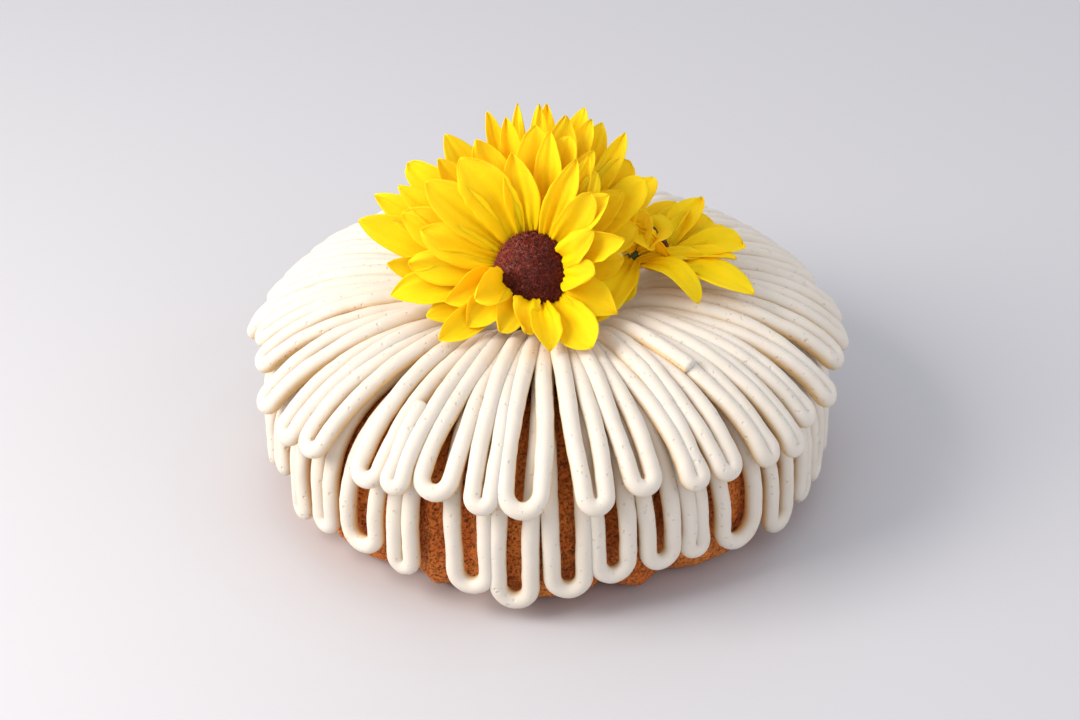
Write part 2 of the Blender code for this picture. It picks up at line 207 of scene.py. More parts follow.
def around(azimuth, radius, height):
    """Point at an azimuth in degrees, where 0 is the front, a radius and a height."""
    angle = math.radians(azimuth)
    return Vector((radius * math.sin(angle), -radius * math.cos(angle), height))


def flute(azimuth):
    """How far a flute cuts in, from 0 on a lobe to 1 in a valley."""
    offset = (azimuth - LOBE_PHASE + LOBE_PERIOD / 2) % LOBE_PERIOD - LOBE_PERIOD / 2
    if abs(offset) <= WIDE_LOBE_HALF:
        return 1 - math.sqrt(max(0.0, 1 - (offset / WIDE_LOBE_HALF) ** 2))
    return (LOBE_PERIOD / 2 - abs(offset)) / (LOBE_PERIOD / 2 - WIDE_LOBE_HALF)


print("the side is at", section_point(0)[0] / MM, "mm")

# %% [markdown]
# ## The sponge
# Its section is drawn as a closed line, close where it shows, and spun round the axis. Then each
# vertex moves in by its flute, and by the crumb: a browned crust has shallow pits, 1 to 3 mm
# wide, where bubbles opened against the pan. Only the side below the icing is seen.

# %% Sponge mesh
SPONGE_TURNS = 600
SIDE_ROW = 1.3 * MM
CRUMB_SIZES = ((9.0, 0.6), (3.0, 0.5))
PIT_SPACING = 3.4
PIT_DEPTH = 1.2
PIT_REACH = 0.46
FINE_ANGLES, COARSE_ANGLES = range(0, 60), range(60, 180, 6)
FLUTES_FADE = 24, 100
FOOT_FADE = 0.25
HOLE_FLARE = 2 * MM


def crumb(point):
    """How far the crust lies below its even form at a point, in millimetres."""
    low = 0.0
    for size, depth in CRUMB_SIZES:
        low += depth * (0.5 - 0.5 * noise.noise(point * per_metre(size)))
    nearest = noise.voronoi(point * per_metre(PIT_SPACING))[0][0]
    return low + PIT_DEPTH * (1 - smooth(nearest, 0, PIT_REACH))


def sponge_outline():
    """The section, as (radius, height, share of the flutes' depth), from the base edge round."""
    outline = []
    rise = int(SIDE_HEIGHT / SIDE_ROW)
    for step in range(rise):
        height = SIDE_HEIGHT * step / rise
        up = 1 - height / SIDE_HEIGHT
        radius, _, _ = section_point(0)
        radius -= (radius - BASE_EDGE_RADIUS) * up ** ROUND_DOWN
        outline.append((radius, height, 1 - FOOT_FADE * up ** ROUND_DOWN))
    for angle in [*FINE_ANGLES, *COARSE_ANGLES]:
        radius, height, _ = section_point(angle)
        outline.append((radius, height, 1 - smooth(angle, *FLUTES_FADE)))
    outline.append((HOLE_FOOT_RADIUS + HOLE_FLARE, SIDE_HEIGHT / 2, 0.0))
    outline.append((HOLE_FOOT_RADIUS, 0.0, 0.0))
    return outline


bm = bmesh.new()
# crumb_depth is kept for the painted shade in the pits of the crust
share_layer = bm.verts.layers.float.new("flute_share")
depth_layer = bm.verts.layers.float.new("crumb_depth")
first = []
for radius, height, share in sponge_outline():
    vertex = bm.verts.new(around(0, radius, height))
    vertex[share_layer] = share
    first.append(vertex)
edges = [bm.edges.new((a, b)) for a, b in zip(first, first[1:] + first[:1])]
bmesh.ops.spin(bm, geom=first + edges, axis=(0, 0, 1), cent=(0, 0, 0), angle=math.tau,
               steps=SPONGE_TURNS, use_merge=True, use_duplicate=False)
for vertex in bm.verts:
    radius = math.hypot(vertex.co.x, vertex.co.y)
    azimuth = math.degrees(math.atan2(vertex.co.x, -vertex.co.y))
    deep = crumb(vertex.co)
    inward = FLUTE_DEPTH * vertex[share_layer] * flute(azimuth) + deep * MM
    vertex[depth_layer] = deep
    vertex.co.x *= 1 - inward / radius
    vertex.co.y *= 1 - inward / radius
print("sponge:", len(first), "points round the section,", SPONGE_TURNS, "round the axis")

# %% [markdown]
# ## Browned sponge crust
# The pan side of a butter cake is a fine, dry, orange-brown crust. It is matt, scatters a little
# warm light, and is mottled where the pan was hotter. Its pits and pores are painted darker, as
# painted shade in the hollows. Each coat of colour goes over the last one where a pattern lies
# between two limits. Object coordinates carry the patterns, and the depth kept from the mesh gives
# the painted shade in the pits.

# %% Sponge material
sponge_material, tree, shader = new_material(
    "baked sponge crust", 0.78, 1.42, Subsurface_Weight=0.12, Subsurface_Scale=1.5 * MM)
shader.inputs["Subsurface Radius"].default_value = (1.0, 0.45, 0.2)
where = add(tree, "ShaderNodeTexCoord").outputs["Object"]
mottle = add(tree, NOISE, {"Vector": where, "Scale": per_metre(22), "Detail": 4.0})
fine = add(tree, NOISE, {"Vector": where, "Scale": per_metre(1.2), "Detail": 6.0,
                         "Roughness": 0.65})
pores = add(tree, NOISE, {"Vector": where, "Scale": per_metre(1.3), "Detail": 4.0,
                          "Roughness": 0.6})
deep = add(tree, "ShaderNodeAttribute", attribute_name="crumb_depth")
paint = colour("FA9440")
# painted shade: 8A3A10 darkens the crust where it lies deeper, and 7A3410 darkens the hollows of
# the pore bump
for code, value, low, high, most in (("E27426", mottle.outputs["Fac"], 0.35, 0.68, 1.0),
                                     ("F4A85C", fine.outputs["Fac"], 0.52, 0.8, 0.5),
                                     ("8A3A10", deep.outputs["Fac"], 0.75, 1.7, 0.85),
                                     ("7A3410", pores.outputs["Fac"], 0.5, 0.33, 0.85)):
    share = add(tree, RANGE, {"Value": value, "From Min": low, "From Max": high, "To Max": most})
    paint = add(tree, BLEND, {BLEND_A: paint, BLEND_B: colour(code),
                              "Factor": share.outputs["Result"]},
                data_type="RGBA").outputs[BLEND_OUT]
tree.links.new(paint, shader.inputs["Base Color"])
open_pores = add(tree, RANGE, {"Value": pores.outputs["Fac"], "From Min": 0.3, "From Max": 0.52})
relief = add(tree, MATHS, {0: fine.outputs["Fac"], 1: open_pores.outputs["Result"]},
             operation="ADD")
bump = add(tree, BUMP, {"Height": relief.outputs[0], "Strength": 1.0, "Distance": 1.1 * MM})
tree.links.new(bump.outputs["Normal"], shader.inputs["Normal"])
finish_piece("sponge_ring", bm, sponge_material, "sponge", "cake")

# %% [markdown]
# ## A rope of icing
# A round nozzle, 8.5 mm wide, lays a rope. Each rope starts as a grid from bmesh, which is rolled
# up round its line: one side of the grid goes along the rope, the other round it. The radius at
# each end is zero, so the ends close in a pole when doubles are merged. The rope keeps how far
# each vertex has turned away from the outside, which the icing material uses for painted shade in
# the grooves.

# %% Rope helper
ROPE_RADIUS = 4.25 * MM
ROPE_SIDES = 16
ROPE_UNEVEN = 0.3 * MM
LONG_LUMP, SHORT_LUMP, SHORT_SHARE = 13, 4.5, 0.6
LEAST_LUMP = 0.6


def add_rope(bm, line, outs, radii, flats, sides=ROPE_SIDES, uneven=ROPE_UNEVEN):
    """Add a closed tube along a line, squeezed sideways by flats, with outs as its outside."""
    turn_layer = bm.verts.layers.float.get("turned_away")
    last = len(line) - 1
    made = bmesh.ops.create_grid(bm, x_segments=sides, y_segments=last, size=1.0)["verts"]
    frames = []
    for i in range(len(line)):
        along_it = (line[min(i + 1, last)] - line[max(i - 1, 0)]).normalized()
        aside = along_it.cross(outs[i]).normalized()
        frames.append((aside.cross(along_it).normalized(), aside * flats[i]))
    for vertex in made:
        i = round((vertex.co.y + 1) / 2 * last)
        angle = math.pi * (vertex.co.x + 1)
        out, aside = frames[i]
        way = out * math.cos(angle) + aside * math.sin(angle)
        spot = line[i] + way * radii[i]
        lumps = noise.noise(spot * per_metre(LONG_LUMP))
        lumps += SHORT_SHARE * noise.noise(spot * per_metre(SHORT_LUMP))
        thick = min(1.0, radii[i] / ROPE_RADIUS)
        vertex.co = spot - way * uneven * (LEAST_LUMP + lumps) * thick
        # how far round from the outside: the icing's painted shade in the grooves follows it
        vertex[turn_layer] = (1 - math.cos(angle)) / 2


def rounded_ends(count, radius, length, step):
    """Radii along a rope, full between two half-round ends of a length."""
    radii = []
    for i in range(count):
        left = min(i, count - 1 - i) * step / length
        radii.append(radius * math.sqrt(max(0.0, 1 - (1 - min(1.0, left)) ** 2)))
    return radii


print("a rope is", 2 * ROPE_RADIUS / MM, "mm thick")

# %% [markdown]
# ## The way a rope goes
# From inside the hole the ropes climb over the top and come down the side, at a fixed distance
# from the sponge. The upper course lies on the lower one, so it stands further off, and its loops
# hang a little clear of the side.

# %% Routes
FIRST_LIFT, SECOND_LIFT = 5.1 * MM, 13.2 * MM
HANGING_LIFT, HANGING_START, HANGING_ANGLES = 6.5 * MM, 54.0, 28.0
ROUTE_END = -78


def route(start, lift, hang=0.0):
    """The section at a distance from the sponge: (way, angle, radius, height, normal)."""
    entries = []
    for angle in range(start, ROUTE_END, -1):
        radius, height, normal = section_point(angle)
        away = hang * min(1.0, max(0.0, (HANGING_START - angle) / HANGING_ANGLES))
        radius += lift * normal.x + away
        height += lift * normal.y
        way = 0.0
        if entries:
            way = entries[-1][0] + math.hypot(radius - entries[-1][2], height - entries[-1][3])
        entries.append((way, angle, radius, height, normal))
    return entries


def along(entries, way):
    """Angle, radius, height and normal a given way along a route."""
    low, high = 0, len(entries) - 1
    while high - low > 1:
        middle = (low + high) // 2
        low, high = (middle, high) if entries[middle][0] <= way else (low, middle)
    before, after = entries[low], entries[high]
    share = (way - before[0]) / (after[0] - before[0])
    mixed = [before[k] + (after[k] - before[k]) * share for k in (1, 2, 3)]
    return *mixed, before[4].lerp(after[4], share).normalized()


def way_at_angle(entries, angle):
    return entries[round(entries[0][1] - angle)][0]


def way_down_to(entries, height):
    """How far along a route its outer side comes down to a height."""
    for before, after in zip(entries, entries[1:]):
        if after[2] > RING_RADIUS and before[3] >= height > after[3]:
            share = (before[3] - height) / (before[3] - after[3])
            return before[0] + (after[0] - before[0]) * share
    return entries[-1][0]


print("the upper course starts", SECOND_LIFT / MM, "mm off the sponge")

# %% [markdown]
# ## The loops
# A loop is given by its azimuth in degrees, and by the height of its lowest point and its width
# in millimetres. Those in view are measured, and the rest follow the same rule round the back,
# each a little off its place.

# %% Loop tables
SEED = 9
FIRST_COUNT, SECOND_COUNT = 36, 39
FIRST_FRONT = (
    (-69.2, 24, 16), (-59.8, 12, 15.5), (-50.5, 16.5, 17.5), (-39.8, 18, 25), (-29.8, 15, 17),
    (-15.4, 13, 23.5), (-7, 7, 23), (3.5, 13, 23), (12.2, 19, 22.5), (22, 21, 21),
    (29.5, 21.7, 16), (40.4, 15.8, 28), (53, 9, 21), (62.8, 12.5, 15.5), (71, 12, 18.5))
SECOND_FRONT = (
    (-79.5, 68, 18), (-68, 62.3, 17), (-57.4, 60.6, 17), (-50, 62.8, 18.5), (-35.6, 62.5, 19.5),
    (-28.9, 64, 14.8), (-21.6, 65, 22), (-12.4, 62.8, 16.5), (-4.8, 62.1, 24), (8.5, 62.4, 18),
    (18, 66.5, 18.5), (28.1, 63.8, 15.2), (35, 63, 16.5), (44.5, 60.6, 15.5), (51.4, 57.4, 14.5),
    (58.2, 63.5, 15.5), (67.8, 61, 16), (79.5, 64, 18))
# Behind: the lowest and highest that a loop may end, and its width.
FIRST_BACK, SECOND_BACK = (8, 22, 19), (58, 70, 18)
AZIMUTH_PLAY = 0.5


def course(front, count, back, draw):
    """All loops of a course as (azimuth, lowest point, width), in order round the cake."""
    low, high, width = back
    loops = [(a, z * MM, w * MM) for a, z, w in front]
    first_azimuth, last_azimuth = front[0][0] + 360.0, front[-1][0]
    missing = count - len(front)
    pitch = (first_azimuth - last_azimuth) / (missing + 1)
    for i in range(missing):
        azimuth = last_azimuth + pitch * (i + 1) + draw.uniform(-AZIMUTH_PLAY, AZIMUTH_PLAY)
        loops.append((azimuth, draw.uniform(low, high) * MM, width * MM))
    return loops


draw = random.Random(SEED)
first_course = course(FIRST_FRONT, FIRST_COUNT, FIRST_BACK, draw)
second_course = course(SECOND_FRONT, SECOND_COUNT, SECOND_BACK, draw)
print(len(first_course), "loops below and", len(second_course), "above")

# %% [markdown]
# ## Legs and turns
# Each loop has two legs and a turn. On top there isn't room for all ropes side by side, so they
# squeeze each other and some sink between their neighbours: each leg draws how far it sinks.

# %% Loop line
STEP = 1.5 * MM
TURN_LENGTH = 1.1  # of half the loop's width
TURN_STEPS = 14
SINK = 4.2 * MM
SINK_FROM, SINK_TO = 40.0, 92.0
SPREAD_FROM = 84.0
WANDER, WANDER_LENGTH, WANDER_CALMS = 1.3, 50, 0.8
CLOSE_TURN, CLOSE_SHARE, CLOSE_LENGTH = 16.5 * MM, 0.25, 2.5
TIGHTEST, ROOM_FACTOR = 0.55, 1.12


def loop_line(loop, entries, start_angles, ridges, sinks, low_by=0.0):
    """Line, outside directions and squeeze of one loop, leg by leg.

    start_angles are the section angles at which its two legs start, ridges their azimuths on
    top, and sinks the share of SINK by which each sinks. A narrow loop closes like a drop.
    """
    azimuth, bottom, width = loop
    half = width / 2 - ROPE_RADIUS
    starts = [way_at_angle(entries, angle) for angle in start_angles]
    spread = way_at_angle(entries, SPREAD_FROM)
    turn = way_down_to(entries, bottom + ROPE_RADIUS) - half * TURN_LENGTH

    def place(way, offset, ridge, sink):
        angle, radius, height, normal = along(entries, way)
        own = azimuth + math.degrees(offset / radius)
        free = smooth(way, spread, turn)
        at = ridge + (own - ridge) * free
        wave = noise.noise(Vector((ridge, way * per_metre(WANDER_LENGTH), SEED)))
        at += WANDER * (1 - WANDER_CALMS * free) * wave
        if width < CLOSE_TURN:
            closing = free * (1 - smooth(way, turn - half * CLOSE_LENGTH, turn))
            at += (azimuth - at) * CLOSE_SHARE * closing
        down = SINK * sink * smooth(angle, SINK_FROM, SINK_TO) + low_by
        line.append(around(at, radius - normal.x * down, height - normal.y * down))
        outs.append(around(at, normal.x, normal.y))
        room = math.tau * radius / SECOND_COUNT / (2 * ROPE_RADIUS)
        flats.append(min(1.0, max(TIGHTEST, ROOM_FACTOR * room)))

    line, outs, flats = [], [], []
    steps = max(2, round((turn - starts[0]) / STEP))
    for i in range(steps):
        place(starts[0] + (turn - starts[0]) * i / steps, -half, ridges[0], sinks[0])
    for i in range(TURN_STEPS + 1):
        angle = math.pi * i / TURN_STEPS
        place(turn + half * TURN_LENGTH * math.sin(angle), -half * math.cos(angle),
              ridges[0] if i < TURN_STEPS / 2 else ridges[1], 0.0)
    steps = max(2, round((turn - starts[1]) / STEP))
    for i in range(steps - 1, -1, -1):
        place(starts[1] + (turn - starts[1]) * i / steps, half, ridges[1], sinks[1])
    return line, outs, flats


def add_loop(bm, line, outs, flats):
    radii = rounded_ends(len(line), ROPE_RADIUS, ROPE_RADIUS, STEP)
    add_rope(bm, line, outs, radii, flats)


def icing_mesh():
    bm = bmesh.new()
    bm.verts.layers.float.new("turned_away")
    return bm


print("a turn has", TURN_STEPS, "steps")

# %% [markdown]
# ## The lower course
# It starts under the upper course, near the top, and comes down nearly to the foot of the sponge.
# Its loops have room, so their ropes stay round, and each loop leans a little to one side.

# %% Lower course
FIRST_START = 96
LOWER_LEAN = 2.5
ROUTE_MARGIN = 2

lower_route = route(FIRST_START + ROUTE_MARGIN, FIRST_LIFT)
lower = icing_mesh()
for loop in first_course:
    half = math.degrees((loop[2] / 2 - ROPE_RADIUS) / (RING_RADIUS + HALF_OUT))
    lean = draw.uniform(-LOWER_LEAN, LOWER_LEAN)
    ridges = (loop[0] - half + lean, loop[0] + half + lean)
    line, outs, flats = loop_line(loop, lower_route, (FIRST_START, FIRST_START), ridges, (0, 0))
    add_loop(lower, line, outs, [1.0] * len(line))
print("lower course:", len(lower.verts), "vertices")

# %% [markdown]
# ## The upper course
# Its legs come out of the hole. On top, the two legs of a loop stand halfway between the middle of
# the loop and the borders with its neighbours. One leg broke off, so it starts on the shoulder,
# lying on its neighbours. The loops in front and at the back are two pieces, so that neither has
# too many faces.

# %% Upper course
SECOND_START = 158
FRONT_HALF = 100.0
LITTLE_SUNK, MUCH_SUNK, SWAPPED = (0, 0.25), (0.6, 1.0), 0.4
LOW_BY = 0.4, 1.3
TORN_LOOP, TORN_START, TORN_LIFT, TORN_SINKS = 5, 58, 1.8 * MM, (0.0, 0.8)

upper_route = route(SECOND_START + ROUTE_MARGIN, SECOND_LIFT, HANGING_LIFT)
upper = {"front": icing_mesh(), "back": icing_mesh()}
for i, loop in enumerate(second_course):
    before = second_course[i - 1][0] - (360 if i == 0 else 0)
    after = second_course[(i + 1) % SECOND_COUNT][0] + (360 if i == SECOND_COUNT - 1 else 0)
    ridges = ((before + 3 * loop[0]) / 4, (after + 3 * loop[0]) / 4)
    sinks = (draw.uniform(*LITTLE_SUNK), draw.uniform(*MUCH_SUNK))
    if draw.random() < SWAPPED:
        sinks = (sinks[1], sinks[0])
    low_by = draw.uniform(*LOW_BY) * MM
    starts = (SECOND_START, SECOND_START)
    if i == TORN_LOOP:
        starts, sinks, low_by = (TORN_START, SECOND_START), TORN_SINKS, -TORN_LIFT
    line, outs, flats = loop_line(loop, upper_route, starts, ridges, sinks, low_by)
    side = "front" if abs((loop[0] + 180) % 360 - 180) < FRONT_HALF else "back"
    add_loop(upper[side], line, outs, flats)
print("upper course:", {side: len(bm.verts) for side, bm in upper.items()}, "vertices")

# %% [markdown]
# ## A torn end
# On the right the baker stopped and tore the rope off. Its blunt end lies on the other ropes, and
# rises on to them as it comes out from under the flowers.

# %% Torn end
END_AZIMUTHS, END_ANGLES, END_LIFT = (38.0, 41.5), (112, 64), 1.5 * MM
END_ROUNDING, END_FLAT = 0.4, 0.9

line, outs = [], []
for angle in range(END_ANGLES[0], END_ANGLES[1], -1):
    _, radius, height, normal = along(upper_route, way_at_angle(upper_route, angle))
    share = (END_ANGLES[0] - angle) / (END_ANGLES[0] - END_ANGLES[1])
    at = END_AZIMUTHS[0] + (END_AZIMUTHS[1] - END_AZIMUTHS[0]) * share
    lift = END_LIFT * smooth(share, 0, 0.5)
    line.append(around(at, radius + normal.x * lift, height + normal.y * lift))
    outs.append(around(at, normal.x, normal.y))
radii = rounded_ends(len(line), ROPE_RADIUS, END_ROUNDING * ROPE_RADIUS, STEP)
add_rope(upper["front"], line, outs, radii, [END_FLAT] * len(line))
print("the torn end has", len(line), "rings")

# %% [markdown]
# ## Cream icing
# Brown butter and cream cheese give an ivory icing that light enters by a few millimetres, so
# nothing on it is black. The sides of each rope, where it turns away into the grooves, are painted
# yellow: painted shade and bounce light. It is satin, has tiny pits where air bubbles burst, and a
# few brown flecks of toasted milk. The distance to a cell's middle is divided by the cell's random
# value, so that pits and flecks come in many sizes.

# %% Icing material
icing_material, tree, shader = new_material(
    "brown butter icing", 0.5, 1.45, Subsurface_Weight=0.3, Subsurface_Scale=3.0 * MM,
    Specular_IOR_Level=0.35)
shader.inputs["Subsurface Radius"].default_value = (1.0, 0.7, 0.4)
where = add(tree, "ShaderNodeTexCoord").outputs["Object"]
turned = add(tree, "ShaderNodeAttribute", attribute_name="turned_away")
cloudy = add(tree, NOISE, {"Vector": where, "Scale": per_metre(14), "Detail": 3.0})
pits = add(tree, CELLS, {"Vector": where, "Scale": per_metre(3.8), "Randomness": 1.0})
flecks = add(tree, CELLS, {"Vector": where, "Scale": per_metre(5.2), "Randomness": 1.0})
skin = add(tree, NOISE, {"Vector": where, "Scale": per_metre(0.9), "Detail": 3.0})
pit_size = add(tree, MATHS, {0: pits.outputs["Distance"], 1: pits.outputs["Color"]},
               operation="DIVIDE")
fleck_size = add(tree, MATHS, {0: flecks.outputs["Distance"], 1: flecks.outputs["Color"]},
                 operation="DIVIDE")
paint = colour("E4DBD0")
# painted shade: E4BE7C paints the sides of each rope, where it turns away into the grooves, a warm
# yellow
for code, value, low, high, most in (("DDD3C3", cloudy.outputs["Fac"], 0.0, 1.0, 1.0),
                                     ("E4BE7C", turned.outputs["Fac"], 0.25, 0.6, 0.9),
                                     ("B08A5A", fleck_size.outputs[0], 0.16, 0.08, 0.5)):
    share = add(tree, RANGE, {"Value": value, "From Min": low, "From Max": high, "To Max": most})
    paint = add(tree, BLEND, {BLEND_A: paint, BLEND_B: colour(code),
                              "Factor": share.outputs["Result"]},
                data_type="RGBA").outputs[BLEND_OUT]
tree.links.new(paint, shader.inputs["Base Color"])
dent = add(tree, RANGE, {"Value": pit_size.outputs[0], "From Min": 0.12, "From Max": 0.32})
surface = add(tree, MATHS, {0: skin.outputs["Fac"], 1: 0.12, 2: dent.outputs["Result"]},
              operation="MULTIPLY_ADD")
bump = add(tree, BUMP, {"Height": surface.outputs[0], "Strength": 0.8, "Distance": 0.5 * MM})
tree.links.new(bump.outputs["Normal"], shader.inputs["Normal"])
finish_piece("lower_icing_loops", lower, icing_material, "icing", "icing")
finish_piece("upper_icing_loops_front", upper["front"], icing_material, "icing", "icing")
finish_piece("upper_icing_loops_back", upper["back"], icing_material, "icing", "icing")

# %% [markdown]
# ## Cloth petals
# The sunflowers are bought ones: each layer of petals is cut from thin woven polyester, pressed
# hot so that the petals stay folded and cupped. A petal starts as a flat grid. Its width comes
# from an outline, and its grid is laid along a curve from the root to the tip. It is thickened at
# the end. One unit of its UV map is 10 mm of cloth, for the weave.

# %% Petal outline
CLOTH = 0.25 * MM
PETAL_ACROSS, PETAL_ALONG = 16, 36
ROOT_WIDTH, TIP_WIDTH, WIDEST_AT = 0.36, 0.06, (0.5, 0.68)
POINTED, BLUNT = ((1.8, 2.6), 0.72), ((3.0, 4.0), 0.5)
WIDENING = 1.2
RIBS, RIB_HEIGHT, RIBS_FADE = (9, 13), (0.35, 0.65), 0.7
WAVE, WAVE_ACROSS, WAVES_ALONG, WAVE_AT_ROOT = (1.0, 2.6), 1.3, 3.2, 0.3
ROLL_SHARPNESS, LIFT_SHARPNESS = 3, 4
NICK, NICKS_ALONG = (0.04, 0.12), 9
CREASE_DEPTH, CREASE_SHARPNESS, CREASE_FADE = 0.2, 4, 0.7
UV_SIZE = 10 * MM


def outline(share, widest_at, tip_form):
    """Half the petal's width at a share of its length, as a share of the widest."""
    if share < widest_at:
        opened = math.sin(math.pi / 2 * share / widest_at) ** WIDENING
        return ROOT_WIDTH + (1 - ROOT_WIDTH) * opened
    left = max(0.0, 1 - ((share - widest_at) / (1 - widest_at)) ** tip_form[0])
    return max(TIP_WIDTH, left ** tip_form[1])


print("the cloth is", CLOTH / MM, "mm thick")

# %% [markdown]
# ## Petals rest on the icing
# Some petals would sink into the icing where it rises round the hole. Such a petal is bent, the
# same way all across, further towards its tip, until all of it is clear of the ridges.

# %% Clear of the icing
CLEARANCE = 1.2 * MM
BEND_STEP, MOST_BENT, FIRST_BENT = 0.2 * MM, 15 * MM, 0.05

crest_route = route(SECOND_START, SECOND_LIFT + ROPE_RADIUS, HANGING_LIFT)


def icing_top(radius):
    """Height of the icing's ridges at a distance from the axis, or 0 where there is no icing."""
    best = 0.0
    for before, after in zip(crest_route, crest_route[1:]):
        if before[2] <= radius <= after[2]:
            share = (radius - before[2]) / max(1e-9, after[2] - before[2])
            best = max(best, before[3] + (after[3] - before[3]) * share)
    return best


def clear_icing(bm, made, direction):
    """Bend a petal from its root in a direction until all of it is above the icing."""
    along_layer = bm.verts.layers.float.get("towards_tip")
    needs = {}
    for vertex in made:
        spot, moved = vertex.co.copy(), 0.0
        while moved < MOST_BENT and spot.z < icing_top(math.hypot(spot.x, spot.y)) + CLEARANCE:
            moved += BEND_STEP
            spot += direction * BEND_STEP
        share = max(FIRST_BENT, vertex[along_layer])
        needs[share] = max(needs.get(share, 0.0), moved)
    for vertex in made:
        vertex.co += direction * max(moved * min(1.0, vertex[along_layer] / share)
                                     for share, moved in needs.items())


print("the icing is", round(max(entry[3] for entry in crest_route) / MM, 1), "mm high")

# %% [markdown]
# ## One petal
# The grid's columns run across the petal and its rows along it. Each vertex knows how far it is
# towards the tip and the edge, which gives its place, its folds and later its colour.

# %% One petal
def add_petal(bm, root, tip, face, width, arch, draw, cup, lift, twist, roll, blunt, bend=0.0):
    """Add one petal from root to tip, its front towards face. All lengths are in metres.

    arch lifts its middle, cup its edges and roll one of them; lift turns the very tip towards
    face, twist turns the petal towards its tip, and bend moves its middle sideways.
    """
    uv_layer = bm.loops.layers.uv.verify()
    along_layer = bm.verts.layers.float.get("towards_tip")
    edge_layer = bm.verts.layers.float.get("towards_edge")
    length = (tip - root).length
    seed = Vector([draw.uniform(0, 99) for _ in range(3)])
    ribs, rib_height = draw.uniform(*RIBS), draw.uniform(*RIB_HEIGHT) * MM
    wave = draw.uniform(*WAVE) * MM
    nick = draw.uniform(*NICK)
    powers, last_power = BLUNT if blunt else POINTED
    tip_form = draw.uniform(*powers), last_power
    widest_at = draw.uniform(*WIDEST_AT)
    straight = (tip - root).normalized()
    face = (face - straight * face.dot(straight)).normalized()
    aside = straight.cross(face)
    made = bmesh.ops.create_grid(bm, x_segments=PETAL_ACROSS, y_segments=PETAL_ALONG,
                                 size=1.0)["verts"]
    spots = {}
    for vertex in made:
        u, s = vertex.co.x, (vertex.co.y + 1) / 2
        half = width / 2 * outline(s, widest_at, tip_form)
        half *= 1 + nick * noise.noise(seed + Vector((u, s * NICKS_ALONG, 0)))
        turned = twist * s
        across = aside * math.cos(turned) + face * math.sin(turned)
        front = face * math.cos(turned) - aside * math.sin(turned)
        swell = 4 * s * (1 - s)
        rolled = max(0.0, u * math.copysign(1, roll)) ** ROLL_SHARPNESS
        fold = cup * half * u * u + roll * half * rolled * s
        crease = math.exp(-(u * CREASE_SHARPNESS) ** 2) * (1 - CREASE_FADE * s)
        fold -= CREASE_DEPTH * half * crease
        fold += rib_height * math.sin(u * ribs + seed.x) * (1 - s) ** RIBS_FADE
        wavy = noise.noise(seed + Vector((u * WAVE_ACROSS, s * WAVES_ALONG, 1)))
        fold += wave * wavy * (WAVE_AT_ROOT + (1 - WAVE_AT_ROOT) * s)
        raised = arch * swell + lift * s ** LIFT_SHARPNESS
        spot = root + straight * length * s + face * raised
        vertex.co = spot + across * (u * half + bend * swell) + front * fold
        vertex[along_layer] = s
        vertex[edge_layer] = abs(u)
        spots[vertex] = (u * half, length * s)
    for face_made in {f for vertex in made for f in vertex.link_faces}:
        for loop in face_made.loops:
            x, y = spots[loop.vert]
            loop[uv_layer].uv = (x / UV_SIZE, y / UV_SIZE)
    return made


def petal_mesh():
    bm = bmesh.new()
    bm.verts.layers.float.new("towards_tip")
    bm.verts.layers.float.new("towards_edge")
    return bm


def thicken(bm):
    """Give the cloth its thickness, half to each side of the grids."""
    bmesh.ops.solidify(bm, geom=bm.faces[:], thickness=CLOTH)


print("a petal has", PETAL_ACROSS, "by", PETAL_ALONG, "faces to a side")

# %% [markdown]
# ## The front sunflower
# It faces the camera, so its petals are measured straight from the picture: the angle and length
# from the middle of the disc to each tip, and the width. There are four layers, from the flat one
# at the back to the short, upright ones round the disc.

# %% Front petal table
FRONT_HEAD = Vector((-5, -22, 117.5)) * MM
FRONT_FACING = Vector((0.0, -0.84, 0.545)).normalized()
FRONT_DISC_RADIUS = 18.5 * MM
LAYER_STEP = 1.8 * MM

